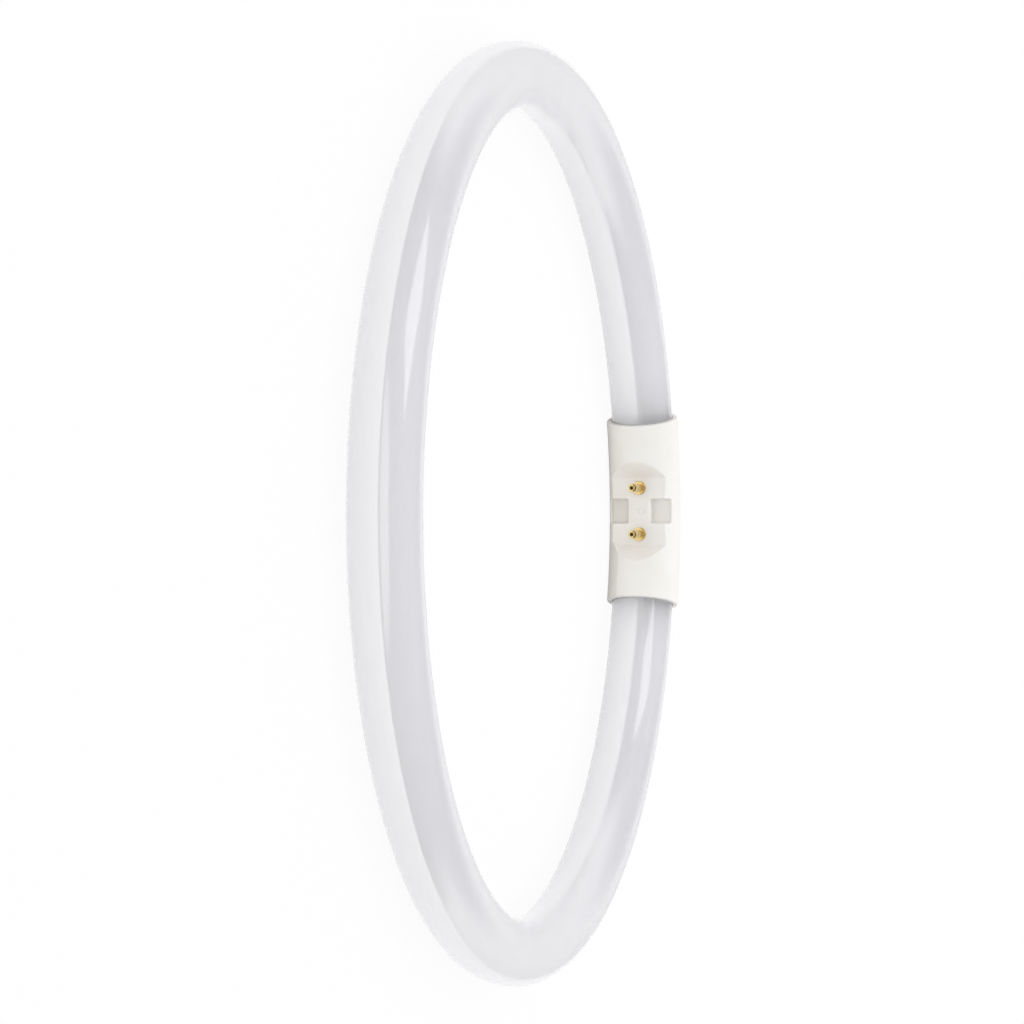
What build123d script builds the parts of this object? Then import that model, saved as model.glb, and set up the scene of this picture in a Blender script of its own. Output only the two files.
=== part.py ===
from build123d import *
from math import cos, degrees, radians, sin, tan
import os

# Circular lamp: a sealed opal glass ring whose two ends meet in a moulded two-part cap
# with a pair of contact pins that point at the middle of the ring.
# Millimetres. The origin is the middle of the ring, +Z is the ring's axis and +X points at the cap.

# Glass ring
ring_radius = 106.7  # middle of the ring to the middle of the glass tube
tube_radius = 8.3
tube_end_round = 2.0  # rounded shoulder of each sealed end
tube_end_gap = 0.3  # end of the glass to the back of the lead-in ramp

# Cap, a curved sleeve over both ends of the glass
tube_insertion = 11.2  # length of glass inside each mouth of the cap
mouth_gap = 0.2  # free gap round the glass at each mouth
cap_wall = 1.27
mouth_round = 0.35  # rounded outer edge of each mouth
seam_gap = 0.12  # shadow line between the two shells
lap_height = 1.1  # tongue of the inner shell inside the outer shell
lap_end_gap = 0.15
lap_root = 0.5  # depth that the tongue is rooted in its own shell
saddle_width = 1.5  # ribs inside the cap that grip the glass
saddle_inset = 2.6  # mouth to the first rib
saddle_pitch = 5.2  # first rib to the second

# Connector face of the inner shell
flat_depth = 6.5  # tube axis to the flat that carries the pins
flat_half_length = 9.25
flat_thickness = 1.2
ramp_angle = 45.0  # lead-in ramps at both ends of the flat
ramp_foot_round = 0.3
rim_round = 0.3  # moulded edges where the connector face meets the round side
latch_half_length = 3.4
latch_near = 3.1  # width of the bridge between the two latch pockets, halved
latch_side_inset = 1.47  # side of the cap to the far wall of a latch pocket
latch_depth = 3.0  # tube axis to the floor of a latch pocket
latch_wall = 1.0
latch_corner = 0.5  # upright corners of a latch pocket
latch_floor_round = 0.35
gate_mark_radius = 1.05
gate_mark_width = 0.4
gate_mark_depth = 0.2
gate_mark_side = 0.85  # the mark sits to one side of the bridge's middle
side_flat_start = 33.0  # degrees from the inward direction round to the lower side
side_flat_end = 71.0
post_size = 1.6  # square posts that clamp the driver board

# Contact pins
pin_radius = 1.17
pin_pitch = 12.7
pin_height = 7.6  # flat to the tip
pin_tip_round = 0.5
tip_bore_radius = 0.52  # dimple in the tip, where the wire is crimped
tip_bore_depth = 0.65
collar_radius = 1.9
collar_height = 0.5
collar_round = 0.25
rivet_radius = 1.75
rivet_height = 0.5
tail_radius = 0.85
tail_length = 1.0

# Driver board and what it carries, between the two ends of the glass
board_length = 21.0
board_width = 14.0
board_thickness = 1.0
board_offset = 2.0  # tube axis to the board's inner face, away from the middle of the ring
board_corner = 1.0
rectifier_size = (2.4, 4.7, 3.9)  # height over the board, length and width
chip_size = (1.5, 4.9, 3.9)
chip_post_gap = 0.65  # free space from the chip to the post beside it
chip_capacitor_gap = 0.5
choke_radius = 2.5
choke_height = 3.4
choke_end_gap = 2.8  # end of the board to the choke
choke_flange = 0.7
choke_waist = 0.6  # depth of the wound waist
capacitor_radius = 2.25
capacitor_length = 7.0
capacitor_end_gap = 2.4  # other end of the board to the capacitor
capacitor_groove = 0.25
fuse_radius = 1.1
fuse_length = 5.6
fuse_edge_gap = 0.8  # long edge of the board to the fuse's body
fuse_leg_radius = 0.3
fuse_leg_reach = 1.1
lead_radius = 0.45
lead_run = 1.5  # straight start and end of each lead
lead_bend = 0.7
pin_pad_step = 1.4  # pin to its pad on the board, along the board
strip_pad_inset = 1.4  # end of the board to the pad of the light strip's lead
pad_side = 3.0  # middle of the board to every pad, across the board
seal_radius = 5.2  # silicone plug on each sealed end of the glass
seal_thickness = 0.8

# Worked out from the sizes above
bore_radius = tube_radius + mouth_gap
cap_radius = bore_radius + cap_wall
lap_radius = bore_radius + cap_wall / 2
latch_far = cap_radius - latch_side_inset
under_depth = flat_depth - flat_thickness
ramp_slope = 1 / tan(radians(ramp_angle))
ramp_back_foot = flat_half_length + flat_thickness * tan(radians(ramp_angle / 2))
tube_end = ramp_back_foot + (cap_radius - under_depth) * ramp_slope + tube_end_gap
cap_half_length = tube_end + tube_insertion
cap_angle = degrees(cap_half_length / ring_radius)
tube_end_angle = degrees(tube_end / ring_radius)
flat_x = ring_radius - flat_depth
under_x = ring_radius - under_depth
board_inner_x = ring_radius + board_offset
board_outer_x = board_inner_x + board_thickness
pin_y = pin_pitch / 2
tail_end_x = under_x + rivet_height + tail_length
far_x = ring_radius - cap_radius - pin_height  # well inside every cut from the middle of the ring
post_y = board_length / 2 - post_size
post_z = board_width / 2 - post_size
chip_y = -(post_y - post_size / 2 - chip_post_gap - chip_size[1] / 2)
chip_z = -(capacitor_radius + chip_capacitor_gap + chip_size[2] / 2)
choke_y = board_length / 2 - choke_end_gap - choke_radius
capacitor_y = -(board_length / 2 - capacitor_end_gap - capacitor_length / 2)
fuse_z = board_width / 2 - fuse_edge_gap - fuse_radius
overshoot = 1.2  # a cut reaches this many times past what it cuts
near_enough = 1e-3  # two places that are closer are one


def sector(section, start, end):
    """Turns a section, drawn in the XZ plane, about the ring's axis from one angle to another."""
    return Rot(0, 0, start) * revolve(section, Axis.Z, end - start)


def tube_section(outer, inner=0.0):
    """The round section of the ring, or of a sleeve round it, in the XZ plane."""
    disc = Plane.XZ * Pos(ring_radius, 0) * Circle(outer)
    if inner:
        disc = disc - Plane.XZ * Pos(ring_radius, 0) * Circle(inner)
    return disc


def section_strip(low, high):
    """A tall strip of the XZ plane between two distances from the tube's axis, outwards positive."""
    return Plane.XZ * Pos(ring_radius + (low + high) / 2, 0) * Rectangle(high - low, 4 * cap_radius)


def block(x_range, y_range, z_range):
    """A box between the given limits."""
    limits = (x_range, y_range, z_range)
    middle = [(low + high) / 2 for low, high in limits]
    size = [high - low for low, high in limits]
    return Pos(*middle) * Box(*size)


def profile_along_z(points, half_width):
    """An outline in the XY plane, pulled the same way up and down."""
    return extrude(make_face(Polyline(*points, close=True)), half_width, both=True)


def glass_ring():
    ring = sector(tube_section(tube_radius), tube_end_angle, 360 - tube_end_angle)
    shoulders = ring.faces().filter_by(GeomType.PLANE).edges()
    return fillet(shoulders, tube_end_round)


def end_seal(side):
    """The silicone plug on the end of the glass, where the lead of the light strip comes out."""
    plug = Cylinder(seal_radius, seal_thickness, align=(Align.CENTER, Align.CENTER, Align.MIN))
    plug = fillet(plug.edges().group_by(Axis.Z)[-1], seal_thickness / 2)
    return tube_end_plane(side) * plug


def tube_end_plane(side):
    """The plane of the glass's end on one side, facing the middle of the cap."""
    angle = radians(tube_end_angle)
    origin = (ring_radius * cos(angle), side * ring_radius * sin(angle), 0)
    return Plane(origin=origin, x_dir=(0, 0, 1), z_dir=(sin(angle), -side * cos(angle), 0))


def sleeve():
    """The cap's curved tube with rounded mouths, before it is parted into two shells."""
    tube = sector(tube_section(cap_radius, bore_radius), -cap_angle, cap_angle)
    mouths = tube.faces().filter_by(GeomType.PLANE)
    rims = [face.outer_wire().edges() for face in mouths]
    return fillet([edge for rim in rims for edge in rim], mouth_round)


def saddles(low, high):
    """The ribs that grip the glass, over the part of the section between two distances."""
    section = tube_section((bore_radius + lap_radius) / 2, tube_radius) & section_strip(low, high)
    ribs = []
    for side in (-1, 1):
        for number in (0, 1):
            arc = cap_half_length - saddle_inset - number * saddle_pitch - saddle_width / 2
            middle = side * degrees(arc / ring_radius)
            half = degrees(saddle_width / 2 / ring_radius)
            ribs += [sector(section, middle - half, middle + half)]
    return ribs


def lap_sector(inner, reach, clearance=0.0):
    """The lap joint along both seams: the tongue itself, or the room for it."""
    section = tube_section(lap_radius, inner) & section_strip(-reach, lap_height + clearance)
    angle = cap_angle - degrees((mouth_round + cap_wall / 2 - clearance) / ring_radius)
    return sector(section, -angle, angle)


def connector_tub():
    """The material behind the connector face: its floor, its ramps and its two latch pockets."""
    reach = flat_x - far_x
    back_end = ramp_back_foot + (reach + flat_thickness) * ramp_slope
    outline = [(under_x, -ramp_back_foot), (under_x, ramp_back_foot), (far_x, back_end), (far_x, -back_end)]
    tub = profile_along_z(outline, 2 * cap_radius)
    for side in (-1, 1):
        limits = sorted((side * (latch_near - latch_wall), side * (latch_far + latch_wall)))
        half_length = latch_half_length + latch_wall
        x_range = (far_x, ring_radius - latch_depth + latch_wall)
        tub += block(x_range, (-half_length, half_length), limits)
    core = tube_section((bore_radius + lap_radius) / 2) & section_strip(-2 * cap_radius, 0)
    return tub & sector(core, -cap_angle, cap_angle)


def connector_cut():
    """What is taken away from the connector face: the flat, its ramps and the latch pockets."""
    reach = flat_x - far_x
    front_end = flat_half_length + reach * ramp_slope
    outline = [
        (flat_x, -flat_half_length),
        (flat_x, flat_half_length),
        (far_x, front_end),
        (far_x, -front_end),
    ]
    cut = profile_along_z(outline, 2 * cap_radius)
    cut = fillet(cut.edges().filter_by(Axis.Z).group_by(Axis.X)[-1], ramp_foot_round)
    return cut + latch_pocket(-1) + latch_pocket(1)


def latch_pocket(side):
    """What is cut for one latch pocket, with the round corners and floor of a moulding."""
    x_range = (far_x, ring_radius - latch_depth)
    z_range = sorted((side * latch_near, side * latch_far))
    pocket = block(x_range, (-latch_half_length, latch_half_length), z_range)
    pocket = fillet(pocket.edges().filter_by(Axis.X), latch_corner)
    return fillet(pocket.faces().sort_by(Axis.X)[-1].edges(), latch_floor_round)


def connector_rims(shell):
    """The sharp edges round the connector face and its pockets, which a moulding has rounded."""
    rims = []
    for edge in shell.edges():
        middle = edge.position_at(0.5)
        box = edge.bounding_box()
        level = abs(box.min.X - flat_x) < near_enough and abs(box.max.X - flat_x) < near_enough
        beside_bridge = abs(middle.Z) > latch_near - near_enough
        if level and beside_bridge and abs(middle.Y) < latch_half_length + near_enough:
            rims += [edge]
        from_axis = ((middle.X**2 + middle.Y**2) ** 0.5 - ring_radius, middle.Z)
        on_round = abs((from_axis[0] ** 2 + from_axis[1] ** 2) ** 0.5 - cap_radius) < near_enough
        if on_round and abs(middle.Y) < tube_end and middle.X < ring_radius - seam_gap - mouth_round:
            rims += [edge]
    return rims


def side_flat_cut():
    """The sliver between the cap's round side and the flat that runs from the lower ramp to the mouth."""
    middle = radians((side_flat_start + side_flat_end) / 2)
    half = radians((side_flat_end - side_flat_start) / 2)
    chord = cap_radius * cos(half)
    plate = Plane.XZ * Pos(ring_radius, 0) * Rot(0, 0, degrees(middle) + 180)
    plate = plate * Pos(chord + cap_radius, 0) * Rectangle(2 * cap_radius, 4 * cap_radius)
    start = -degrees(flat_half_length / ring_radius)
    sliver = plate & tube_section(overshoot * cap_radius)
    return sector(sliver, -overshoot * cap_angle, start)


def board_posts(x_range):
    """Four square posts at the corners of the driver board."""
    posts = []
    for y in (-post_y, post_y):
        for z in (-post_z, post_z):
            y_range = (y - post_size / 2, y + post_size / 2)
            posts += [block(x_range, y_range, (z - post_size / 2, z + post_size / 2))]
    return posts


def cap_inner_shell():
    """The shell on the inside of the ring, with the connector face and the tongues of the lap joint."""
    half = sleeve() & sector(section_strip(-2 * cap_radius, 0), -2 * cap_angle, 2 * cap_angle)
    shell = half + lap_sector(bore_radius, lap_root) + connector_tub()
    for rib in saddles(-2 * cap_radius, 0):
        shell += rib
    for post in board_posts((under_x - flat_thickness / 2, board_inner_x)):
        shell += post
    shell -= connector_cut()
    shell = fillet(connector_rims(shell), rim_round)
    shell -= side_flat_cut()
    for side in (-1, 1):
        shell -= Plane(origin=(far_x, side * pin_y, 0), z_dir=(1, 0, 0)) * Cylinder(
            pin_radius, under_x + flat_thickness - far_x, align=(Align.CENTER, Align.CENTER, Align.MIN)
        )
    mark = Plane(origin=(flat_x, 0, gate_mark_side), z_dir=(-1, 0, 0))
    ring_mark = Cylinder(gate_mark_radius, 2 * gate_mark_depth)
    ring_mark -= Cylinder(gate_mark_radius - gate_mark_width, 2 * gate_mark_depth)
    return shell - mark * ring_mark


def cap_outer_shell():
    """The plain shell on the outside of the ring."""
    shell = sleeve() & sector(section_strip(seam_gap, 2 * cap_radius), -2 * cap_angle, 2 * cap_angle)
    shell -= lap_sector(tube_radius, cap_radius, lap_end_gap)
    for rib in saddles(lap_height + lap_end_gap, 2 * cap_radius):
        shell += rib
    within = sector(tube_section(lap_radius), -cap_angle, cap_angle)
    for post in board_posts((board_outer_x, ring_radius + cap_radius)):
        shell += post & within
    return shell


def is_at(vertex, x, y):
    """Whether a corner of an outline lies at a point."""
    return abs(vertex.X - x) < near_enough and abs(vertex.Y - y) < near_enough


def contact_pin(side):
    """A turned pin: tail, rivet head under the floor, shank, collar on the flat, shaft and round tip."""
    tail_end = tail_length + rivet_height
    floor = tail_end + flat_thickness
    collar_top = floor + collar_height
    tip = floor + pin_height
    # Half outline, height from the tail's end against radius
    outline = Polyline(
        (0, 0),
        (tail_radius, 0),
        (tail_radius, tail_length),
        (rivet_radius, tail_length),
        (rivet_radius, tail_end),
        (pin_radius, tail_end),
        (pin_radius, floor),
        (collar_radius, floor),
        (collar_radius, collar_top),
        (pin_radius, collar_top),
        (pin_radius, tip),
        (tip_bore_radius, tip),
        (tip_bore_radius, tip - tip_bore_depth),
        (0, tip - tip_bore_depth),
        close=True,
    )
    section = make_face(outline)
    corners = section.vertices()
    tip_corner = corners.filter_by(lambda v: is_at(v, pin_radius, tip))
    section = fillet(tip_corner, pin_tip_round)
    rim = section.vertices().filter_by(lambda v: is_at(v, collar_radius, collar_top))
    section = fillet(rim, collar_round)
    pin = revolve(section, Axis.Y)
    # The turned outline stands along Y and is laid down to point at the middle of the ring
    return Pos(tail_end_x, side * pin_y, 0) * Rot(0, 0, 90) * pin


def driver_board():
    board = block(
        (board_inner_x, board_outer_x),
        (-board_length / 2, board_length / 2),
        (-board_width / 2, board_width / 2),
    )
    return chamfer(board.edges().filter_by(Axis.X), board_corner)


def on_board_inside(size, y, z):
    """A small moulded component on the board's inner face."""
    height, length, width = size
    y_range = (y - length / 2, y + length / 2)
    body = block((board_inner_x - height, board_inner_x), y_range, (z - width / 2, z + width / 2))
    return chamfer(body.faces().sort_by(Axis.X)[0].edges(), height / 8)


def bridge_rectifier():
    return on_board_inside(rectifier_size, 0, 0)


def driver_chip():
    height, length, width = chip_size
    y_range = (chip_y - length / 2, chip_y + length / 2)
    z_range = (chip_z - width / 2, chip_z + width / 2)
    body = block((board_outer_x, board_outer_x + height), y_range, z_range)
    return chamfer(body.faces().sort_by(Axis.X)[-1].edges(), height / 8)


def choke():
    """A drum choke with a wound waist between two flanges, standing on the board."""
    drum = Cylinder(choke_radius, choke_height)
    waist = Cylinder(choke_radius, choke_height - 2 * choke_flange)
    waist -= Cylinder(choke_radius - choke_waist, choke_height - 2 * choke_flange)
    stand = Plane(origin=(board_outer_x + choke_height / 2, choke_y, 0), z_dir=(1, 0, 0))
    return stand * (drum - waist)


def bulk_capacitor():
    """An electrolytic capacitor lying along the board, with the rolled groove of its can."""
    can = Cylinder(capacitor_radius, capacitor_length)
    can = fillet(can.edges(), capacitor_radius / 8)
    groove = Torus(capacitor_radius, capacitor_groove)
    can -= Pos(0, 0, capacitor_length / 2 - 4 * capacitor_groove) * groove
    place = (board_outer_x + capacitor_radius, capacitor_y, 0)
    return Plane(origin=place, z_dir=(0, -1, 0)) * can


def fuse_resistor():
    """An axial fuse resistor beside the other components, on two bent legs."""
    body = fillet(Cylinder(fuse_radius, fuse_length).edges(), fuse_radius / 3)
    centre_x = board_outer_x + fuse_radius
    part = Plane(origin=(centre_x, 0, fuse_z), z_dir=(0, 1, 0)) * body
    foot = fuse_length / 2 + fuse_leg_reach
    for side in (-1, 1):
        path = FilletPolyline(
            (centre_x, side * (fuse_length / 2 - fuse_leg_radius), fuse_z),
            (centre_x, side * foot, fuse_z),
            (board_outer_x, side * foot, fuse_z),
            radius=fuse_leg_radius * 1.5,
        )
        part += round_wire(path, fuse_leg_radius)
    return part


def round_wire(path, radius):
    """A round wire along a path."""
    return sweep(Plane(origin=path @ 0, z_dir=path % 0) * Circle(radius), path)


def pin_lead(side):
    """The lead from a pin's tail to its pad on the board."""
    pad = (board_inner_x, side * (pin_y + pin_pad_step), side * pad_side)
    start = (tail_end_x, side * pin_y, 0)
    path = FilletPolyline(
        start,
        (start[0] + lead_run, start[1], start[2]),
        (pad[0] - lead_run, pad[1], pad[2]),
        pad,
        radius=lead_bend,
    )
    return round_wire(path, lead_radius)


def strip_lead(side):
    """The lead from the board to the silicone plug, where it enters the glass."""
    face = tube_end_plane(side)
    plug = face.from_local_coords(Vector(0, 0, seal_thickness))
    before = face.from_local_coords(Vector(0, 0, seal_thickness + lead_run))
    pad = Vector(board_inner_x, side * (board_length / 2 - strip_pad_inset), -side * pad_side)
    lift = Vector(board_inner_x - lead_run, pad.Y, pad.Z)
    path = FilletPolyline(pad, lift, before, plug, radius=lead_bend)
    return round_wire(path, lead_radius)


subparts = {
    "glass_ring": glass_ring(),
    "cap_inner_shell": cap_inner_shell(),
    "cap_outer_shell": cap_outer_shell(),
    "driver_board": driver_board(),
    "bridge_rectifier": bridge_rectifier(),
    "driver_chip": driver_chip(),
    "choke": choke(),
    "bulk_capacitor": bulk_capacitor(),
    "fuse_resistor": fuse_resistor(),
}
for number, side in ((1, 1), (2, -1)):
    subparts[f"contact_pin_{number}"] = contact_pin(side)
    subparts[f"pin_lead_{number}"] = pin_lead(side)
    subparts[f"end_seal_{number}"] = end_seal(side)
    subparts[f"strip_lead_{number}"] = strip_lead(side)

os.makedirs("parts", exist_ok=True)
for name, solid in subparts.items():
    export_step(solid, f"parts/{name}.step")
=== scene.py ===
"""Dresses the ring lamp and shows it flat on a pale floor, seen low from the far side of its cap."""
import logging
import math
from abc import ABC, abstractmethod
from dataclasses import dataclass, field
from enum import Enum
from typing import Callable, ClassVar, Optional, Union

import bpy
from mathutils import Matrix, Vector


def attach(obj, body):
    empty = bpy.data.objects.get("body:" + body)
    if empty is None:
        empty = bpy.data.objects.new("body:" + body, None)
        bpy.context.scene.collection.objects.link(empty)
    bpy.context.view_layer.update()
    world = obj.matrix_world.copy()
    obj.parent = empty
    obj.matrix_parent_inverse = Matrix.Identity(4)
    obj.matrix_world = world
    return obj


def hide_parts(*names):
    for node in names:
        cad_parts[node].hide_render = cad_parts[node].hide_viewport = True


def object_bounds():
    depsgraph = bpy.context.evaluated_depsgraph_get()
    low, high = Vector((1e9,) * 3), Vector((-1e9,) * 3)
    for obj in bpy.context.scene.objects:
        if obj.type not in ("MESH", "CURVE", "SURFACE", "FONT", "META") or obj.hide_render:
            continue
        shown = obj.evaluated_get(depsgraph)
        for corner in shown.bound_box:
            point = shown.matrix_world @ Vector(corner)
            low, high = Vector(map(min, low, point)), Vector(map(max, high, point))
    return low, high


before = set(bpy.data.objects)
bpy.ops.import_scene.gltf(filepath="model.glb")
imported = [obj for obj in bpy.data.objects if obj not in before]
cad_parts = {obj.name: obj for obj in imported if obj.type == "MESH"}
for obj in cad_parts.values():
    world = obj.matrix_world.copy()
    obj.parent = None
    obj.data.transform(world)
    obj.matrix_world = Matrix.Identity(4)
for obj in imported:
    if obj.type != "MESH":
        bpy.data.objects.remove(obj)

CAD_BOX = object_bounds()
MM = 0.001
RING_RADIUS = 106.7 * MM
TUBE_RADIUS = 8.3 * MM
FULL_TURN = 2 * math.pi
LOG = logging.getLogger("ring_lamp")

Number = Union["Value", float]
Colour = tuple[float, float, float]
Span = tuple[float, float]
Pair = tuple[float, float]

WHITE: Colour = (1.0, 1.0, 1.0)
COOL: Colour = (0.93, 0.95, 1.0)
MIX_INPUTS = (0, 6, 7)  # the Mix node's factor and its two colours
MIX_OUTPUT = 2  # its mixed colour


class Sum(Enum):
    """The sums that a Math node does in these shaders."""

    ADD = "ADD"
    SUBTRACT = "SUBTRACT"
    MULTIPLY = "MULTIPLY"
    DIVIDE = "DIVIDE"
    DROP_SIGN = "ABSOLUTE"
    SINE = "SINE"
    ROOT = "SQRT"
    OVER = "GREATER_THAN"
    LARGER = "MAXIMUM"
    SMALLER = "MINIMUM"


class Value:
    """A number that runs through a shader and can be used in Python expressions."""

    def __init__(self, tree: "ShaderTree", socket: bpy.types.NodeSocket) -> None:
        """Wraps an output socket.

        Args:
            tree: The shader that the socket belongs to.
            socket: The output that carries the number.
        """
        self.tree = tree
        self.socket = socket

    def maths(self, operation: Sum, *operands: Number) -> "Value":
        """Adds a Math node.

        Args:
            operation: What the node does.
            operands: Its inputs in order.

        Returns:
            The node's result.
        """
        settings = {"operation": operation.value}
        node = self.tree.node("ShaderNodeMath", settings, dict(enumerate(operands)))
        return Value(self.tree, node.outputs[0])

    def __add__(self, other: Number) -> "Value":
        """Adds."""
        return self.maths(Sum.ADD, self, other)

    __radd__ = __add__

    def __sub__(self, other: Number) -> "Value":
        """Subtracts."""
        return self.maths(Sum.SUBTRACT, self, other)

    def __rsub__(self, other: Number) -> "Value":
        """Subtracts from a plain number."""
        return self.maths(Sum.SUBTRACT, other, self)

    def __mul__(self, other: Number) -> "Value":
        """Multiplies."""
        return self.maths(Sum.MULTIPLY, self, other)

    __rmul__ = __mul__

    def __truediv__(self, other: Number) -> "Value":
        """Divides."""
        return self.maths(Sum.DIVIDE, self, other)

    def __rtruediv__(self, other: Number) -> "Value":
        """Divides a plain number."""
        return self.maths(Sum.DIVIDE, other, self)

    def __abs__(self) -> "Value":
        """Drops the sign."""
        return self.maths(Sum.DROP_SIGN, self)

    def sine(self) -> "Value":
        """The sine of an angle in radians."""
        return self.maths(Sum.SINE, self)

    def wave(self) -> "Value":
        """A wave from nothing to one, from an angle in radians."""
        return self.sine() * 0.5 + 0.5

    def root(self) -> "Value":
        """The square root."""
        return self.maths(Sum.ROOT, self)

    def above(self, limit: float) -> "Value":
        """One where the number is over a limit, nothing elsewhere."""
        return self.maths(Sum.OVER, self, limit)

    def most(self, other: Number) -> "Value":
        """The larger of two numbers."""
        return self.maths(Sum.LARGER, self, other)

    def least(self, other: Number) -> "Value":
        """The smaller of two numbers."""
        return self.maths(Sum.SMALLER, self, other)

    def rise(self, start: float, end: float) -> "Value":
        """Goes smoothly from nothing to one between two limits, which may run downwards.

        Args:
            start: Where the result is nothing.
            end: Where the result is one.

        Returns:
            The smooth step.
        """
        settings = {"interpolation_type": "SMOOTHSTEP"}
        inputs = {"Value": self, "From Min": min(start, end), "From Max": max(start, end)}
        node = self.tree.node("ShaderNodeMapRange", settings, inputs)
        step = Value(self.tree, node.outputs[0])
        return step if end > start else 1 - step


class ShaderTree:
    """The nodes of one material or of the sky, added through a few short methods."""

    def __init__(self, owner: Union[bpy.types.Material, bpy.types.World]) -> None:
        """Empties a node tree and keeps it.

        Args:
            owner: The material or world to fill.
        """
        owner.use_nodes = True
        self.nodes = owner.node_tree.nodes
        self.links = owner.node_tree.links
        self.nodes.clear()
        world = isinstance(owner, bpy.types.World)
        self.output = self.nodes.new("ShaderNodeOutputWorld" if world else "ShaderNodeOutputMaterial")

    def node(
        self,
        kind: str,
        settings: Optional[dict] = None,
        inputs: Optional[dict] = None,
    ) -> bpy.types.Node:
        """Adds a node.

        Args:
            kind: The node's type.
            settings: Its properties, which are set first.
            inputs: Its sockets, by name or number, with a value or a link for each.

        Returns:
            The new node.
        """
        node = self.nodes.new(kind)
        for name, setting in (settings or {}).items():
            setattr(node, name, setting)
        for key, given in (inputs or {}).items():
            self.feed(node.inputs[key], given)
        return node

    def feed(self, socket: bpy.types.NodeSocket, given: object) -> None:
        """Sets or links one input.

        Args:
            socket: The input.
            given: A number, a colour, a vector or a link.
        """
        if isinstance(given, Value):
            self.links.new(given.socket, socket)
        elif isinstance(given, bpy.types.NodeSocket):
            self.links.new(given, socket)
        elif isinstance(given, tuple) and socket.type == "RGBA":
            socket.default_value = (*given, 1.0)
        else:
            socket.default_value = given

    def place(self) -> tuple[Value, Value, Value]:
        """The point on the object, in metres, as three numbers."""
        return self.split(self.node("ShaderNodeTexCoord").outputs["Object"])

    def split(self, vector: bpy.types.NodeSocket) -> tuple[Value, Value, Value]:
        """Splits a vector into three numbers."""
        parts = self.node("ShaderNodeSeparateXYZ", inputs={"Vector": vector})
        x, y, z = (Value(self, socket) for socket in parts.outputs)
        return x, y, z

    def join(self, x: Number, y: Number, z: Number) -> bpy.types.NodeSocket:
        """Joins three numbers to a vector."""
        return self.node("ShaderNodeCombineXYZ", inputs={"X": x, "Y": y, "Z": z}).outputs[0]

    def noise(
        self,
        at: bpy.types.NodeSocket,
        size: float,
        detail: float = 2.0,
        rough: float = 0.5,
    ) -> Value:
        """Cloudy noise from 0 to 1.

        Args:
            at: Where it is read, in metres.
            size: The width of a cloud in metres.
            detail: How many finer layers it has.
            rough: How strong the finer layers are.

        Returns:
            The noise.
        """
        inputs = {"Vector": at, "Scale": 1.0 / size, "Detail": detail, "Roughness": rough}
        node = self.node("ShaderNodeTexNoise", {"noise_dimensions": "3D"}, inputs)
        return Value(self, node.outputs[0])

    def cells(self, at: bpy.types.NodeSocket, size: float) -> Value:
        """The distance to the nearest of many random points, in cell widths.

        Args:
            at: Where it is read, in metres.
            size: The width of a cell in metres.

        Returns:
            The distance.
        """
        inputs = {"Vector": at, "Scale": 1.0 / size}
        node = self.node("ShaderNodeTexVoronoi", {"feature": "F1"}, inputs)
        return Value(self, node.outputs["Distance"])

    def blend(self, factor: Number, first: object, second: object) -> bpy.types.NodeSocket:
        """Mixes two colours.

        Args:
            factor: How much of the second colour shows.
            first: A colour or a link.
            second: A colour or a link.

        Returns:
            The mixed colour.
        """
        inputs = dict(zip(MIX_INPUTS, (factor, first, second)))
        return self.node("ShaderNodeMix", {"data_type": "RGBA"}, inputs).outputs[MIX_OUTPUT]

    def relief(
        self,
        height: Number,
        depth: float,
        under: Optional[bpy.types.NodeSocket] = None,
    ) -> bpy.types.NodeSocket:
        """Turns a height from 0 to 1 into a bumped normal.

        Args:
            height: The height.
            depth: The depth of the relief in metres.
            under: A normal that this relief is added to.

        Returns:
            The normal.
        """
        inputs = {"Height": height, "Distance": depth, "Strength": 1.0}
        if under is not None:
            inputs["Normal"] = under
        return self.node("ShaderNodeBump", inputs=inputs).outputs[0]

    def show(self, shader: bpy.types.NodeSocket) -> None:
        """Joins a shader to the output."""
        self.links.new(shader, self.output.inputs[0])

    def surface(self, **sockets: object) -> None:
        """Adds the main shader and shows it.

        Args:
            sockets: Its sockets by name, with underscores for spaces.
        """
        settings = {"subsurface_method": "RANDOM_WALK"}
        inputs = {name.replace("_", " "): given for name, given in sockets.items()}
        self.show(self.node("ShaderNodeBsdfPrincipled", settings, inputs).outputs[0])


class Finish(ABC):
    """A finish that dresses a piece."""

    name: ClassVar[str]

    def material(self) -> bpy.types.Material:
        """Builds the finish as a material, once."""
        known = bpy.data.materials.get(f"finish_{self.name}")
        if known:
            return known
        material = bpy.data.materials.new(f"finish_{self.name}")
        self.build(ShaderTree(material))
        return material

    @abstractmethod
    def build(self, tree: ShaderTree) -> None:
        """Adds the finish's nodes to an empty shader."""

    def dress(self, piece: bpy.types.Object) -> None:
        """Puts the finish on every material slot of a piece."""
        material = self.material()
        if not piece.material_slots:
            piece.data.materials.append(material)
        for held in piece.material_slots:
            held.material = material


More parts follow.
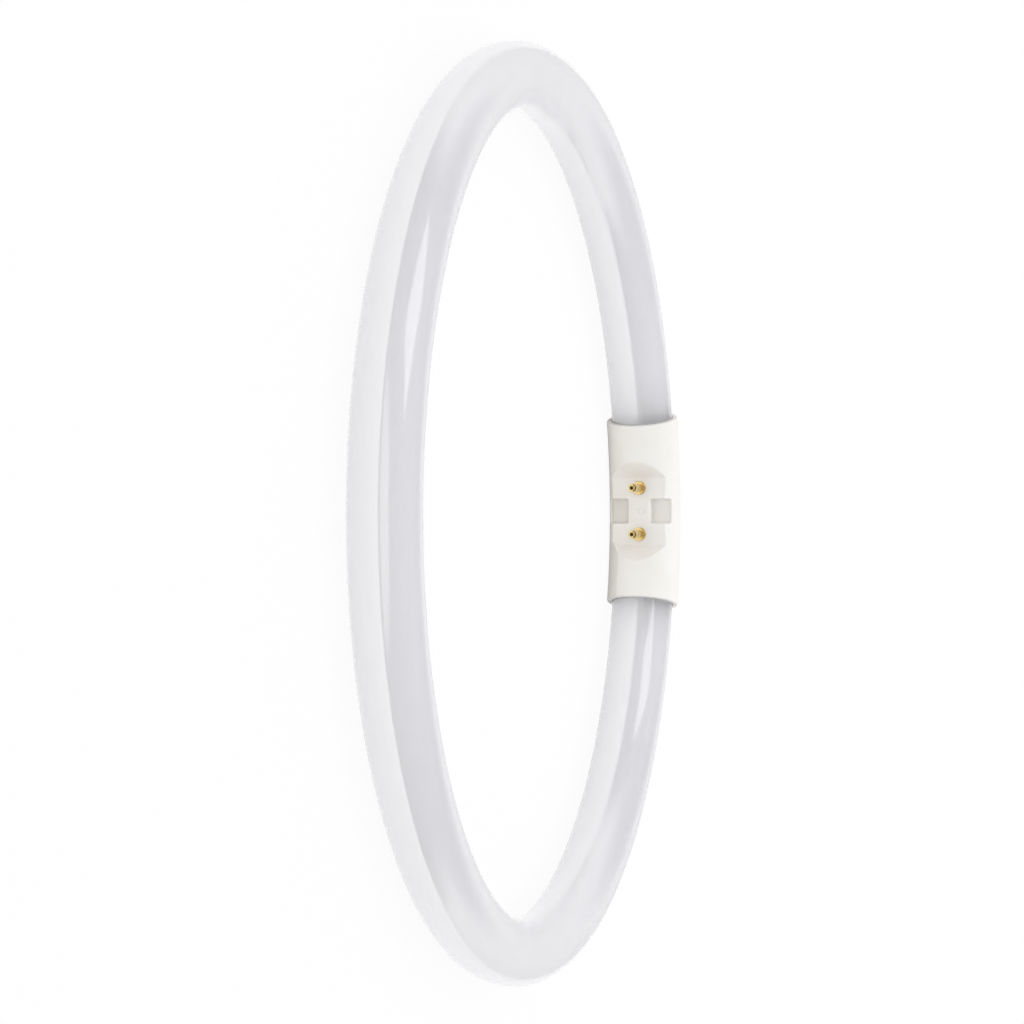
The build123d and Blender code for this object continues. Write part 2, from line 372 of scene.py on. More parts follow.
@dataclass(frozen=True)
class OpalGlass(Finish):
    """Milky soda glass: smooth and glossy, with faint draw lines along the tube."""

    name: ClassVar[str] = "opal_glass"
    ring_radius: float = RING_RADIUS
    tube_radius: float = TUBE_RADIUS
    colour: Colour = (0.765, 0.767, 0.79)
    thin_colour: Colour = (0.75, 0.752, 0.775)
    cloud_size: float = 26 * MM
    cloud_span: Span = (0.3, 0.75)
    speck_colour: Colour = (0.60, 0.61, 0.64)
    speck_pitch: float = 3.2 * MM
    speck_span: Span = (0.11, 0.04)
    speck_strength: float = 0.05
    draw_line_width: float = 0.16  # in tube radii
    draw_line_drift: Pair = (1.2, 0.9)  # how fast the lines change along x and along y
    draw_line_depth: float = 0.004 * MM
    roughness: float = 0.24
    wipe_size: float = 9 * MM
    wipe_squash: float = 2.5
    wipe_strength: float = 0.06
    index: float = 1.5
    skin_tint: Colour = (0.98, 0.973, 1.0)
    skin_roughness: float = 0.085
    skin_index: float = 2.5
    milk_depth: float = 70 * MM

    def build(self, tree: ShaderTree) -> None:
        """Adds the coating's clouds, the draw lines and the wiped gloss."""
        x, y, z = tree.place()
        at = tree.join(x, y, z)
        across = ((x * x + y * y).root() - self.ring_radius) / self.tube_radius
        along = x * self.draw_line_drift[0] + y * self.draw_line_drift[1]
        drawn = tree.join(across, z / self.tube_radius, along)
        lines = tree.noise(drawn, self.draw_line_width, detail=3.0, rough=0.55)
        clouds = tree.noise(at, self.cloud_size, detail=3.0)
        specks = tree.cells(at, self.speck_pitch).rise(*self.speck_span)
        wiped = tree.noise(tree.join(x, y, z * self.wipe_squash), self.wipe_size, detail=4.0, rough=0.6)
        coating = tree.blend(clouds.rise(*self.cloud_span), self.colour, self.thin_colour)
        tree.surface(
            Base_Color=tree.blend(specks * self.speck_strength, coating, self.speck_colour),
            Roughness=self.roughness + (wiped - 0.5) * self.wipe_strength,
            IOR=self.index,
            Coat_Weight=1.0,
            Coat_Roughness=self.skin_roughness,
            Coat_IOR=self.skin_index,
            Coat_Tint=self.skin_tint,
            Subsurface_Weight=1.0,
            Subsurface_Radius=(1.0, 1.0, 1.0),
            Subsurface_Scale=self.milk_depth,
            Normal=tree.relief(lines, self.draw_line_depth),
        )


@dataclass(frozen=True)
class CapPlastic(Finish):
    """White moulded plastic with a fine eroded grain and faint flow marks round the gate."""

    name: ClassVar[str] = "cap_plastic"
    colour: Colour = (0.93, 0.915, 0.88)
    warm_colour: Colour = (0.91, 0.885, 0.835)
    drift_size: float = 7 * MM
    drift_span: Span = (0.25, 0.8)
    drift_depth: float = 0.05 * MM
    grain_size: float = 0.16 * MM
    grain_depth: float = 0.010 * MM
    gate: tuple[float, float, float] = (100.2 * MM, 0.0, 0.85 * MM)
    flow_colour: Colour = (0.70, 0.69, 0.66)
    flow_strength: float = 0.05
    flow_width: float = 0.9 * MM
    flow_reach: Span = (9 * MM, 1.5 * MM)
    swirl_size: float = 2.4 * MM
    swirl_strength: float = 5.0
    roughness: float = 0.42
    grain_roughness: float = 0.12
    flow_gloss: float = 0.05
    index: float = 1.5
    milk_share: float = 0.15
    milk_radius: Colour = (1.0, 0.9, 0.8)
    milk_depth: float = 1.0 * MM

    def build(self, tree: ShaderTree) -> None:
        """Adds the grain, the flow marks and the slight warmth of the resin."""
        x, y, z = tree.place()
        at = tree.join(x, y, z)
        grain = tree.noise(at, self.grain_size, detail=2.0, rough=0.6)
        drift = tree.noise(at, self.drift_size, detail=3.0, rough=0.55)
        dx, dy, dz = (part - middle for part, middle in zip((x, y, z), self.gate))
        reach = (dx * dx + dy * dy + dz * dz).root()
        swirl = tree.noise(at, self.swirl_size, detail=3.0, rough=0.6)
        ripples = (reach / self.flow_width + swirl * self.swirl_strength).wave()
        flow = ripples * reach.rise(*self.flow_reach)
        resin = tree.blend(drift.rise(*self.drift_span), self.colour, self.warm_colour)
        tree.surface(
            Base_Color=tree.blend(flow * self.flow_strength, resin, self.flow_colour),
            Roughness=self.roughness + (grain - 0.5) * self.grain_roughness - flow * self.flow_gloss,
            IOR=self.index,
            Subsurface_Weight=self.milk_share,
            Subsurface_Radius=self.milk_radius,
            Subsurface_Scale=self.milk_depth,
            Normal=tree.relief(drift, self.drift_depth, tree.relief(grain, self.grain_depth)),
        )


@dataclass(frozen=True)
class PinBrass(Finish):
    """Turned brass: fine lathe rings along the pin, a little dulled where nothing rubs it."""

    name: ClassVar[str] = "pin_brass"
    colour: Colour = (0.90, 0.68, 0.30)
    dull_colour: Colour = (0.62, 0.41, 0.15)
    # painted shade: the hole in the pin's tip is coloured dark brown
    hole_shade_colour: Colour = (0.10, 0.07, 0.03)
    pitch: float = 12.7 * MM
    hole_radius: float = 0.5 * MM
    hole_edge: float = 0.12 * MM
    hole_end: float = 94.0 * MM
    hole_shade_strength: float = 0.9
    ring_pitch: float = 0.09 * MM
    ring_depth: float = 0.004 * MM
    wander_size: float = 0.5 * MM
    wander_strength: float = 4.0
    foot_start: Span = (98.5 * MM, 99.7 * MM)
    foot_end: Span = (99.5 * MM, 99.8 * MM)
    foot_tarnish: float = 0.2
    spot_span: Span = (0.55, 0.85)
    spot_tarnish: float = 0.3
    roughness: float = 0.16
    tarnish_roughness: float = 0.18
    ring_roughness: float = 0.05
    hole_roughness: float = 0.3

    def build(self, tree: ShaderTree) -> None:
        """Adds the lathe rings, the tarnish at the pin's foot and painted shade in the hole at its tip."""
        x, y, z = tree.place()
        wander = tree.noise(tree.join(x, y, z), self.wander_size, detail=3.0, rough=0.6)
        rings = (x * (FULL_TURN / self.ring_pitch) + wander * self.wander_strength).wave()
        foot = x.rise(*self.foot_start) * (1 - x.rise(*self.foot_end))
        spots = wander.rise(*self.spot_span)
        tarnish = (foot * self.foot_tarnish + spots * self.spot_tarnish).least(1.0)
        aside = abs(y) - 0.5 * self.pitch
        away = (aside * aside + z * z).root()
        inside = away.rise(self.hole_radius + self.hole_edge, self.hole_radius)
        # the hole in the tip, where shade is painted into the colour and the brass is rougher
        hole = inside * (1 - x.above(self.hole_end))
        turned = tree.blend(tarnish, self.colour, self.dull_colour)
        worn = self.roughness + tarnish * self.tarnish_roughness
        tree.surface(
            Base_Color=tree.blend(hole * self.hole_shade_strength, turned, self.hole_shade_colour),
            Metallic=1.0,
            Roughness=worn + rings * self.ring_roughness + hole * self.hole_roughness,
            Normal=tree.relief(rings, self.ring_depth),
        )


@dataclass(frozen=True)
class BoardLaminate(Finish):
    """Green solder mask over copper tracks, with the weave of the laminate at its cut edges."""

    name: ClassVar[str] = "board_laminate"
    mask: Colour = (0.02, 0.14, 0.055)
    track: Colour = (0.05, 0.24, 0.09)
    edge: Colour = (0.42, 0.40, 0.22)
    weave_colour: Colour = (0.25, 0.23, 0.12)
    track_pitch: float = 2.1 * MM
    track_span: Span = (0.15, 0.3)
    cross_pitch: float = 1.7  # in track pitches
    cross_span: Span = (0.5, 0.7)
    bend_size: float = 6 * MM
    bend_strength: float = 3.0
    faces: Span = (108.7 * MM, 109.7 * MM)
    side_span: Span = (0.47 * MM, 0.44 * MM)
    weave_pitch: float = 0.35 * MM
    weave_strength: float = 0.4
    roughness: float = 0.28
    side_roughness: float = 0.45
    depth: float = 0.03 * MM

    def build(self, tree: ShaderTree) -> None:
        """Adds tracks under the mask on both faces, and bare laminate at the edges."""
        x, y, z = tree.place()
        bent = tree.noise(tree.join(0.0, y, z), self.bend_size, detail=0.0) * self.bend_strength
        across_pitch = self.cross_pitch * self.track_pitch
        along = ((y / self.track_pitch + bent) * FULL_TURN).sine().rise(*self.track_span)
        across = ((z / across_pitch + bent) * FULL_TURN).sine().rise(*self.cross_span)
        tracks = along.most(across)
        side = abs(x - 0.5 * sum(self.faces)).rise(*self.side_span)
        weave = ((y + z) * (FULL_TURN / self.weave_pitch)).wave()
        masked = tree.blend(tracks, self.mask, self.track)
        bare = tree.blend(weave * self.weave_strength, self.edge, self.weave_colour)
        height = tracks * (1 - side) + weave * side * self.weave_strength
        tree.surface(
            Base_Color=tree.blend(side, masked, bare),
            Roughness=self.roughness + side * self.side_roughness,
            Normal=tree.relief(height, self.depth),
        )


@dataclass(frozen=True)
class ComponentMoulding(Finish):
    """Black epoxy moulding with a fine matt grain and a few worn grey spots."""

    name: ClassVar[str] = "component_moulding"
    colour: Colour = (0.022, 0.022, 0.024)
    worn_colour: Colour = (0.06, 0.06, 0.062)
    worn_size: float = 1.3 * MM
    worn_span: Span = (0.55, 0.75)
    worn_strength: float = 0.3
    worn_gloss: float = 0.14
    grain_size: float = 0.11 * MM
    grain_depth: float = 0.012 * MM
    grain_roughness: float = 0.1
    roughness: float = 0.62

    def build(self, tree: ShaderTree) -> None:
        """Adds the grain and the rubbed spots."""
        at = tree.join(*tree.place())
        grain = tree.noise(at, self.grain_size, detail=3.0, rough=0.65)
        worn = tree.noise(at, self.worn_size, detail=4.0, rough=0.6).rise(*self.worn_span)
        tree.surface(
            Base_Color=tree.blend(worn * self.worn_strength, self.colour, self.worn_colour),
            Roughness=self.roughness - worn * self.worn_gloss + (grain - 0.5) * self.grain_roughness,
            Normal=tree.relief(grain, self.grain_depth),
        )


@dataclass(frozen=True)
class ChokeFerrite(Finish):
    """A grey ferrite drum whose waist is wound with varnished copper."""

    name: ClassVar[str] = "choke_ferrite"
    centre: Pair = (5.2 * MM, 0.0)
    waist_radius: float = 2.2 * MM
    waist_edge: float = 0.05 * MM
    waist: Span = (110.4 * MM, 112.4 * MM)
    waist_margin: float = 0.02 * MM
    wire_pitch: float = 0.28 * MM
    wire_span: Span = (0.0, 0.6)
    wire_colour: Colour = (0.62, 0.25, 0.10)
    # painted shade: dark brown in the grooves between the turns of wire
    groove_shade_colour: Colour = (0.16, 0.045, 0.014)
    wire_metal: float = 0.8
    wire_gloss: float = 0.3
    ferrite_colour: Colour = (0.055, 0.052, 0.05)
    # painted shade: the pores are coloured darker than the ferrite
    pore_shade_colour: Colour = (0.02, 0.02, 0.02)
    pore_pitch: float = 0.22 * MM
    pore_span: Span = (0.3, 0.1)
    pore_shade_strength: float = 0.5
    pore_height: float = 0.3
    roughness: float = 0.58
    depth: float = 0.09 * MM

    def build(self, tree: ShaderTree) -> None:
        """Adds the turns of wire between the flanges with painted shade in the grooves between them, and
        pores in the ferrite with painted shade in them.
        """
        x, y, z = tree.place()
        dy, dz = y - self.centre[0], z - self.centre[1]
        away = (dy * dy + dz * dz).root()
        over_foot = x.above(self.waist[0] + self.waist_margin)
        between = over_foot * (1 - x.above(self.waist[1] - self.waist_margin))
        wound = between * away.rise(self.waist_radius + self.waist_edge, self.waist_radius - self.waist_edge)
        turns = abs((x * (math.pi / self.wire_pitch)).sine())
        pores = tree.cells(tree.join(x, y, z), self.pore_pitch).rise(*self.pore_span)
        # the ferrite, with painted shade in its pores
        ferrite = tree.blend(pores * self.pore_shade_strength, self.ferrite_colour, self.pore_shade_colour)
        # the copper winding, with painted shade where the turns meet
        copper = tree.blend(turns.rise(*self.wire_span), self.groove_shade_colour, self.wire_colour)
        height = turns * wound + (1 - pores) * (1 - wound) * self.pore_height
        tree.surface(
            Base_Color=tree.blend(wound, ferrite, copper),
            Metallic=wound * self.wire_metal,
            Roughness=self.roughness - wound * self.wire_gloss,
            Normal=tree.relief(height, self.depth),
        )


@dataclass(frozen=True)
class CapacitorCan(Finish):
    """A drawn aluminium can in a dark shrink sleeve that leaves its two ends bare."""

    name: ClassVar[str] = "capacitor_can"
    ends: Span = (-7.35 * MM, -1.75 * MM)
    end_edge: float = 0.05 * MM
    sleeve: Colour = (0.016, 0.022, 0.05)
    wrinkle_colour: Colour = (0.03, 0.04, 0.08)
    wrinkle_size: float = 1.1 * MM
    wrinkle_squash: float = 3.0
    wrinkle_stretch: float = 0.7
    wrinkle_span: Span = (0.4, 0.7)
    wrinkle_strength: float = 0.4
    metal: Colour = (0.62, 0.63, 0.65)
    brush_size: float = 0.4 * MM
    brush_squash: float = 9.0
    brush_height: float = 0.2
    roughness: float = 0.32
    sleeve_gloss: float = 0.04
    brush_roughness: float = 0.14
    depth: float = 0.03 * MM

    def build(self, tree: ShaderTree) -> None:
        """Adds the sleeve's wrinkles and the brushed metal of the ends."""
        x, y, z = tree.place()
        middle = 0.5 * (self.ends[0] + self.ends[1])
        half = 0.5 * (self.ends[1] - self.ends[0])
        covered = abs(y - middle).rise(half + self.end_edge, half - self.end_edge)
        squashed = tree.join(x * self.wrinkle_squash, y * self.wrinkle_stretch, z * self.wrinkle_squash)
        wrinkle = tree.noise(squashed, self.wrinkle_size, detail=2.0)
        brushed = tree.noise(tree.join(x, y * self.brush_squash, z), self.brush_size, detail=3.0, rough=0.6)
        folds = wrinkle.rise(*self.wrinkle_span) * self.wrinkle_strength
        sleeve = tree.blend(folds, self.sleeve, self.wrinkle_colour)
        height = wrinkle * covered + brushed * (1 - covered) * self.brush_height
        drawn = self.roughness - covered * self.sleeve_gloss
        tree.surface(
            Base_Color=tree.blend(covered, self.metal, sleeve),
            Metallic=1 - covered,
            Roughness=drawn + (brushed - 0.5) * self.brush_roughness,
            Normal=tree.relief(height, self.depth),
        )


@dataclass(frozen=True)
class FuseLacquer(Finish):
    """A lacquered resistor body with plain coloured bands, on tinned copper legs."""

    name: ClassVar[str] = "fuse_ceramic"
    axis: Pair = (110.8 * MM, 5.1 * MM)
    body_half: float = 2.8 * MM
    leg_radius: float = 0.4 * MM
    leg_colour: Colour = (0.68, 0.67, 0.66)
    lacquer: Colour = (0.16, 0.33, 0.26)
    thick_lacquer: Colour = (0.10, 0.24, 0.19)
    run_size: float = 0.9 * MM
    run_strength: float = 0.4
    bands: tuple[tuple[float, Colour], ...] = (
        (-1.5 * MM, (0.22, 0.07, 0.02)),
        (-0.6 * MM, (0.02, 0.02, 0.02)),
        (0.3 * MM, (0.02, 0.02, 0.02)),
        (1.5 * MM, (0.50, 0.33, 0.05)),
    )
    band_span: Span = (0.3 * MM, 0.24 * MM)
    roughness: float = 0.24
    leg_roughness: float = 0.1
    run_roughness: float = 0.08
    depth: float = 0.03 * MM

    def build(self, tree: ShaderTree) -> None:
        """Adds the bands, the lacquer's runs and the tinned legs."""
        x, y, z = tree.place()
        runs = tree.noise(tree.join(x, y, z), self.run_size, detail=3.0)
        body = tree.blend(runs * self.run_strength, self.lacquer, self.thick_lacquer)
        for place, shade in self.bands:
            body = tree.blend(abs(y - place).rise(*self.band_span), body, shade)
        dx, dz = x - self.axis[0], z - self.axis[1]
        away = (dx * dx + dz * dz).root()
        leg = abs(y).above(self.body_half).most(1 - away.above(self.leg_radius))
        tree.surface(
            Base_Color=tree.blend(leg, body, self.leg_colour),
            Metallic=leg,
            Roughness=self.roughness + leg * self.leg_roughness + runs * self.run_roughness,
            Normal=tree.relief(runs, self.depth),
        )


@dataclass(frozen=True)
class SoftSilicone(Finish):
    """The leads' white silicone insulation: slightly milky, with a soft uneven skin."""

    name: ClassVar[str] = "lead_insulation"
    colour: Colour = (0.74, 0.735, 0.71)
    soiled: Colour = (0.60, 0.585, 0.54)
    dust_size: float = 2.2 * MM
    dust_span: Span = (0.5, 0.8)
    dust_strength: float = 0.5
    skin_size: float = 0.6 * MM
    skin_depth: float = 0.02 * MM
    roughness: float = 0.46
    dust_roughness: float = 0.12
    milk_share: float = 0.3
    milk_radius: Colour = (1.0, 0.9, 0.8)
    milk_depth: float = 0.6 * MM

    def build(self, tree: ShaderTree) -> None:
        """Adds the skin and a little dust held by it."""
        at = tree.join(*tree.place())
        skin = tree.noise(at, self.skin_size, detail=3.0, rough=0.55)
        dust = tree.noise(at, self.dust_size, detail=4.0, rough=0.65).rise(*self.dust_span)
        tree.surface(
            Base_Color=tree.blend(dust * self.dust_strength, self.colour, self.soiled),
            Roughness=self.roughness + dust * self.dust_roughness,
            Subsurface_Weight=self.milk_share,
            Subsurface_Radius=self.milk_radius,
            Subsurface_Scale=self.milk_depth,
            Normal=tree.relief(skin, self.skin_depth),
        )


@dataclass(frozen=True)
class SealSilicone(SoftSilicone):
    """The thicker silicone of the plugs, smeared by hand."""

    name: ClassVar[str] = "seal_silicone"
    colour: Colour = (0.79, 0.785, 0.76)
    roughness: float = 0.5
    skin_size: float = 1.4 * MM
    skin_depth: float = 0.08 * MM


@dataclass(frozen=True)
class PaleFloor(Finish):
    """A plain white floor that reads as a white ground and still holds the lamp's shadow."""

    name: ClassVar[str] = "pale_floor"
    colour: Colour = (0.86, 0.85, 0.83)
    white_share: float = 0.94
    far_white_share: float = 0.0
    far_side: Span = (0.0, 0.3)

    def build(self, tree: ShaderTree) -> None:
        """Mixes the lit floor with a plain white for what is seen or mirrored."""
        lit = tree.node("ShaderNodeBsdfDiffuse", inputs={"Color": self.colour}).outputs[0]
        glow = {"Color": WHITE, "Strength": 1.0}
        white = tree.node("ShaderNodeEmission", inputs=glow).outputs[0]
        mix = {0: self.white_part(tree), 1: lit, 2: white}
        tree.show(tree.node("ShaderNodeMixShader", inputs=mix).outputs[0])

    def white_part(self, tree: ShaderTree) -> Value:
        """How much of the plain white shows: nearly all, but less where gloss shows the floor's far side.

        Args:
            tree: The floor's shader.

        Returns:
            The share of plain white, from 0 to 1.
        """
        path = tree.node("ShaderNodeLightPath").outputs
        camera = Value(tree, path["Is Camera Ray"])
        glossy = Value(tree, path["Is Glossy Ray"])
        clear = Value(tree, path["Is Transmission Ray"])
        x, _, _ = tree.place()
        loss = self.far_white_share - self.white_share
        mirrored = self.white_share + x.rise(*self.far_side) * loss
        return (camera.most(clear) * self.white_share).most(glossy * mirrored)


class Pick(Enum):
    """What is picked in edit mode."""

    VERTICES = "VERT"
    EDGES = "EDGE"


class Shape:
    """Steps of hand modelling that several pieces share."""

    @staticmethod
    def deselect() -> None:
        """Leaves nothing selected and no piece active."""
        bpy.ops.object.select_all(action="DESELECT")
        bpy.context.view_layer.objects.active = None

    @staticmethod
    def edit_all() -> None:
        """Goes into edit mode on the active piece, with all of it selected."""
        bpy.ops.object.mode_set(mode="EDIT")
        bpy.ops.mesh.select_all(action="SELECT")

    @staticmethod
    def leave() -> None:
        """Goes back to object mode."""
        bpy.ops.object.mode_set(mode="OBJECT")

    @staticmethod
    def finish(piece: bpy.types.Object, name: str, smooth_angle: float) -> bpy.types.Object:
        """Names a piece, applies its place and smooths it.

        Args:
            piece: The modelled piece, in object mode.
            name: Its name.
            smooth_angle: Edges sharper than this, in degrees, stay sharp.

        Returns:
            The same piece.
        """
        Shape.deselect()
        piece.select_set(True)
        bpy.context.view_layer.objects.active = piece
        piece.name = name
        piece.data.name = name
        bpy.ops.object.transform_apply(location=True, rotation=True, scale=True)
        bpy.ops.object.shade_smooth_by_angle(angle=math.radians(smooth_angle))
        return piece

    @staticmethod
    def pick_vertices(piece: bpy.types.Object, test: Callable[[Vector], bool]) -> None:
        """Selects the vertices whose place passes a test, from within edit mode.

        Args:
            piece: The piece being edited.
            test: Gets a vertex's place and says whether it is wanted.
        """
        Shape.leave()
        mesh = piece.data
        mesh.polygons.foreach_set("select", [False] * len(mesh.polygons))
        mesh.edges.foreach_set("select", [False] * len(mesh.edges))
        mesh.vertices.foreach_set("select", [test(vertex.co) for vertex in mesh.vertices])
        bpy.ops.object.mode_set(mode="EDIT")
        bpy.ops.mesh.select_mode(type=Pick.VERTICES.value)


class TubeEnd(Enum):
    """The two sealed ends of the glass, by the side of the cap that they go into."""

    PLUS_Y = 1
    MINUS_Y = -1


@dataclass
class GlassRing:
    """The glass tube, bent to a ring, with a rounded shoulder at each sealed end."""

    finish: Finish
    ring_radius: float = RING_RADIUS
    tube_radius: float = TUBE_RADIUS
    shoulder: float = 2.0 * MM
    half_opening: float = 14.52 * MM
    around: int = 144
    along: int = 384
    shoulder_steps: int = 6
    end_inset: float = 0.4  # in radii of the end's flat
    smooth_angle: float = 40.0
    plane_slack: float = 0.02 * MM
    reach_slack: float = 0.1 * MM
    weld: float = 0.001 * MM

    def build(self) -> bpy.types.Object:
        """Spins the tube's round section about the ring's middle and closes both ends.

        Returns:
            The dressed glass.
        """
        start = self.half_opening / self.ring_radius + self.shoulder / self.ring_radius
        Shape.deselect()
        bpy.ops.mesh.primitive_circle_add(
            vertices=self.around,
            radius=self.tube_radius,
            fill_type="NOTHING",
            location=(self.ring_radius, 0, 0),
            rotation=(math.pi / 2, 0, 0),
        )
        glass = bpy.context.active_object
        bpy.ops.object.transform_apply(location=True, rotation=True, scale=True)
        Shape.edit_all()
        bpy.ops.transform.rotate(value=-start, orient_axis="Z", center_override=(0, 0, 0))
        bpy.ops.mesh.spin(steps=self.along, angle=2 * (math.pi - start), center=(0, 0, 0), axis=(0, 0, -1))
        for end in TubeEnd:
            self.close_end(glass, end)
        bpy.ops.mesh.select_all(action="SELECT")
        bpy.ops.mesh.remove_doubles(threshold=self.weld)
        bpy.ops.mesh.normals_make_consistent(inside=False)
        Shape.leave()
        Shape.finish(glass, "glass_tube", self.smooth_angle)
        self.finish.dress(glass)
        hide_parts("glass_ring")
        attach(glass, "root")
        return glass

    def close_end(self, glass: bpy.types.Object, end: TubeEnd) -> None:
        """Rounds one end of the tube in steps and fills it.

        Args:
            glass: The tube, in edit mode.
            end: Which end.
        """
        angle = end.value * (self.half_opening + self.shoulder) / self.ring_radius
        middle = Vector((self.ring_radius * math.cos(angle), self.ring_radius * math.sin(angle), 0))
        inward = Vector((math.sin(angle), -math.cos(angle), 0)) * end.value
        reach = self.tube_radius + self.reach_slack

        def on_end(place: Vector) -> bool:
            """Whether a point lies on the tube's open end."""
            offset = place - middle
            return abs(offset.dot(inward)) < self.plane_slack and offset.length < reach

        Shape.pick_vertices(glass, on_end)
        bpy.ops.mesh.select_mode(type=Pick.EDGES.value)
        before = Vector((0.0, self.tube_radius))
        for step in range(1, self.shoulder_steps + 1):
            turn = 0.5 * math.pi * step / self.shoulder_steps
            after = Vector((
                self.shoulder * math.sin(turn),
                self.tube_radius - self.shoulder * (1 - math.cos(turn)),
            ))
            bpy.ops.mesh.extrude_region_move(
                TRANSFORM_OT_translate={"value": inward * (after.x - before.x)}
            )
            centre = middle + inward * after.x
            scale = after.y / before.y
            bpy.ops.transform.resize(value=(scale, scale, scale), center_override=centre)
            before = after
        bpy.ops.mesh.edge_face_add()
        bpy.ops.mesh.inset(thickness=self.end_inset * before.y)


@dataclass
class CadPieces:
    """CAD nodes whose shape is right, which get a finish of their own."""

    finish: Finish
    nodes: tuple[str, ...]

    def build(self) -> list[bpy.types.Object]:
        """Dresses the nodes.

        Returns:
            The dressed nodes.
        """
        dressed = [bpy.data.objects[name] for name in self.nodes]
        for node in dressed:
            self.finish.dress(node)
        return dressed


@dataclass(frozen=True)
class SoftLamp:
    """A square soft lamp that faces the middle of the ring.

    Its azimuth runs from +X and its elevation from the floor, in degrees. Its distance and the
    length of its side are in metres, and its power is in watts.
    """

    name: str
    azimuth: float
    elevation: float
    distance: float
    size: float
    power: float
    mirrored: bool = False
    tint: Colour = WHITE

    def hang(self) -> None:
        """Adds the lamp, which glossy surfaces show only if it is mirrored."""
        light = bpy.data.lights.new(self.name, "AREA")
        light.shape = "SQUARE"
        light.size = self.size
        light.energy = self.power
        light.color = self.tint
        lamp = bpy.data.objects.new(self.name, light)
        lamp.visible_glossy = self.mirrored
        bpy.context.scene.collection.objects.link(lamp)
        flat = math.cos(math.radians(self.elevation))
        towards = Vector((
            flat * math.cos(math.radians(self.azimuth)),
            flat * math.sin(math.radians(self.azimuth)),
            math.sin(math.radians(self.elevation)),
        ))
        facing = towards.to_track_quat("Z", "Y").to_matrix().to_4x4()
        lamp.matrix_world = Matrix.Translation(towards * self.distance) @ facing


@dataclass(frozen=True)
class StudioSky:
    """Even light all round, with a backdrop, a window and a dim ceiling for gloss to show.

    The spans are parts of a direction of length one: away is along +X and height along +Z.
    """

    strength: float = 0.62
    ceiling_strength: float = 0.1
    backdrop_strength: float = 0.75
    backdrop_away: Span = (-0.1, 0.35)
    backdrop_top: Span = (0.75, 0.35)
    window_strength: float = 0.55
    window_away: Span = (-0.8, -0.9)
    window_foot: Span = (0.06, 0.14)
    window_top: Span = (0.62, 0.5)

    def build(self) -> None:
        """Fills the studio with the light."""
        world = bpy.data.worlds.new("studio")
        bpy.context.scene.world = world
        tree = ShaderTree(world)
        away, _, height = tree.split(tree.node("ShaderNodeTexCoord").outputs["Generated"])
        backdrop = away.rise(*self.backdrop_away) * height.rise(*self.backdrop_top)
        upright = height.rise(*self.window_foot) * height.rise(*self.window_top)
        window = away.rise(*self.window_away) * upright * self.window_strength
        behind = backdrop * (self.backdrop_strength - self.ceiling_strength)
        shown = self.ceiling_strength + behind + window
        mirrored = Value(tree, tree.node("ShaderNodeLightPath").outputs["Is Glossy Ray"])
        light = {"Color": WHITE, "Strength": self.strength + mirrored * (shown - self.strength)}
        tree.show(tree.node("ShaderNodeBackground", inputs=light).outputs[0])


@dataclass(frozen=True)
class LowCamera:
    """The photograph's camera, low over the floor and turned on its side. Its angles are in degrees."""

    distance: float = 784.7 * MM
    tilt: float = 17.475
    turn: float = -0.35
    aim_right: float = -4.857 * MM
    aim_up: float = 0.36 * MM
    focal_length: float = 112.46
    sensor_width: float = 36.0
    clip_start: float = 0.01
    clip_end: float = 50.0

    def build(self) -> None:
        """Sets the camera up and looks through it."""
        tilt = math.radians(self.tilt)
        forward = Vector((math.cos(tilt), 0, -math.sin(tilt)))
        up = Vector((0, 1, 0))
        right = forward.cross(up)
        aim = self.aim_right * right + self.aim_up * up
        place = aim - self.distance * forward
        axes = Matrix((right, up, -forward)).transposed().to_4x4()
        turn = Matrix.Rotation(math.radians(self.turn), 4, "Z")
        lens = bpy.data.cameras.new("camera")
        lens.sensor_fit = "HORIZONTAL"
        lens.sensor_width = self.sensor_width
        lens.lens = self.focal_length
        lens.clip_start = self.clip_start
        lens.clip_end = self.clip_end
        camera = bpy.data.objects.new("camera", lens)
        bpy.context.scene.collection.objects.link(camera)
        camera.matrix_world = turn @ Matrix.Translation(place) @ axes
        bpy.context.scene.camera = camera


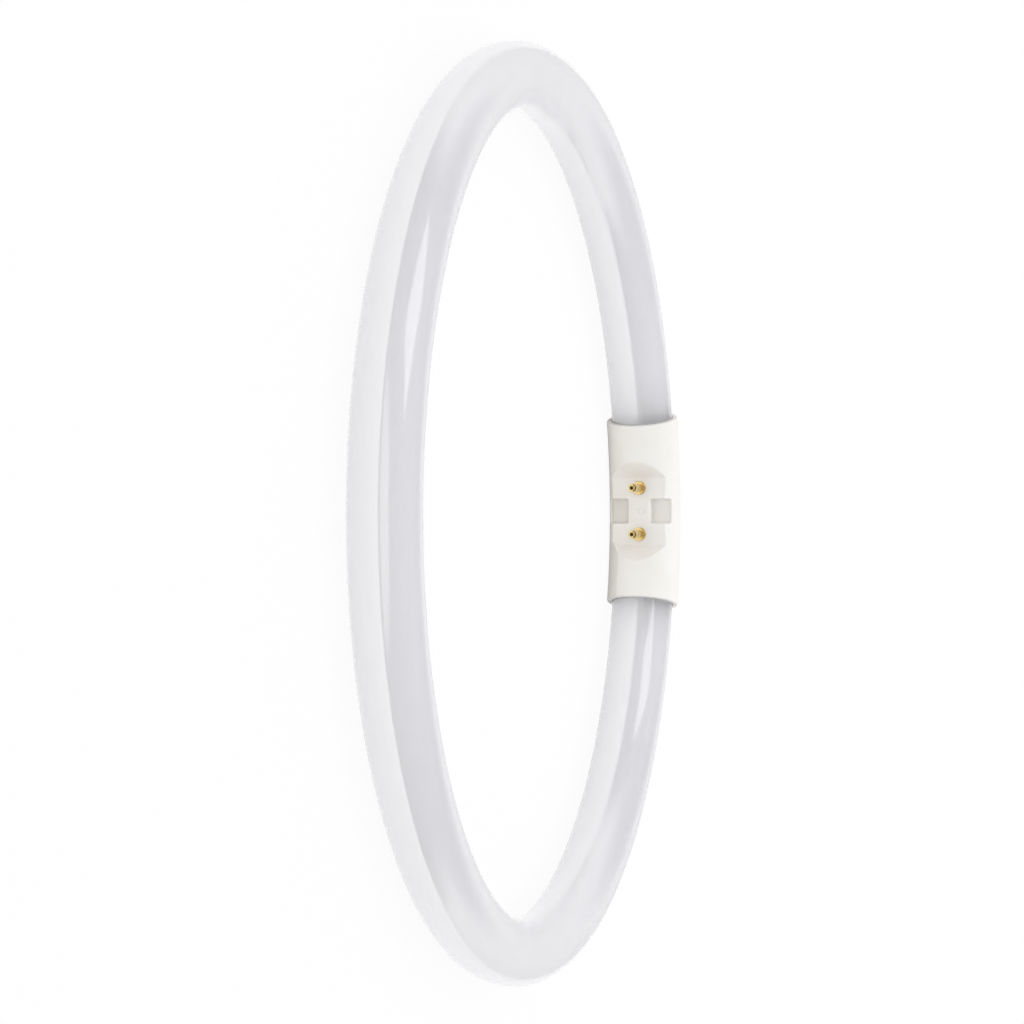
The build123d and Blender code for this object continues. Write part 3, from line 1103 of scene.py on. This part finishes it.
@dataclass
class Studio:
    """The floor, the sky, the lamps and the camera."""

    floor_level: float
    floor_size: float = 14.0
    floor_cuts: int = 3
    smooth_angle: float = 30.0
    finish: Finish = field(default_factory=PaleFloor)
    sky: StudioSky = field(default_factory=StudioSky)
    camera: LowCamera = field(default_factory=LowCamera)
    lamps: tuple[SoftLamp, ...] = (
        SoftLamp("softbox", azimuth=115, elevation=52, distance=1.0, size=0.50, power=0.56, mirrored=True),
        SoftLamp("overhead", azimuth=0, elevation=70, distance=1.4, size=1.0, power=6.6, tint=COOL),
        SoftLamp("back", azimuth=0, elevation=25, distance=1.6, size=1.0, power=4.5),
        SoftLamp("front", azimuth=180, elevation=22, distance=1.6, size=1.0, power=4.2),
        SoftLamp("left", azimuth=105, elevation=28, distance=1.6, size=1.0, power=2.2),
        SoftLamp("right", azimuth=-105, elevation=28, distance=1.6, size=1.0, power=1.9),
    )

    def floor(self) -> bpy.types.Object:
        """Lays a wide floor just under the lamp."""
        Shape.deselect()
        bpy.ops.mesh.primitive_plane_add(size=self.floor_size, location=(0, 0, self.floor_level))
        floor = bpy.context.active_object
        Shape.edit_all()
        bpy.ops.mesh.subdivide(number_cuts=self.floor_cuts)
        Shape.leave()
        Shape.finish(floor, "floor", self.smooth_angle)
        self.finish.dress(floor)
        return floor

    def build(self) -> None:
        """Sets up the whole studio."""
        self.floor()
        self.sky.build()
        for lamp in self.lamps:
            lamp.hang()
        self.camera.build()
        bpy.context.scene.view_settings.view_transform = "Standard"


def main() -> None:
    """Builds the lamp and the studio."""
    logging.basicConfig(level=logging.INFO, format="%(name)s %(message)s")
    pieces = [GlassRing(OpalGlass()).build()]
    plan = (
        (CapPlastic(), ("cap_inner_shell", "cap_outer_shell")),
        (PinBrass(), ("contact_pin_1", "contact_pin_2")),
        (BoardLaminate(), ("driver_board",)),
        (ComponentMoulding(), ("bridge_rectifier", "driver_chip")),
        (ChokeFerrite(), ("choke",)),
        (CapacitorCan(), ("bulk_capacitor",)),
        (FuseLacquer(), ("fuse_resistor",)),
        (SoftSilicone(), ("pin_lead_1", "pin_lead_2", "strip_lead_1", "strip_lead_2")),
        (SealSilicone(), ("end_seal_1", "end_seal_2")),
    )
    for finish, nodes in plan:
        pieces += CadPieces(finish, nodes).build()
    for piece in pieces:
        LOG.info("%s: %d faces", piece.name, len(piece.data.polygons))
    Studio(floor_level=CAD_BOX[0][2]).build()


if __name__ == "__main__":
    main()
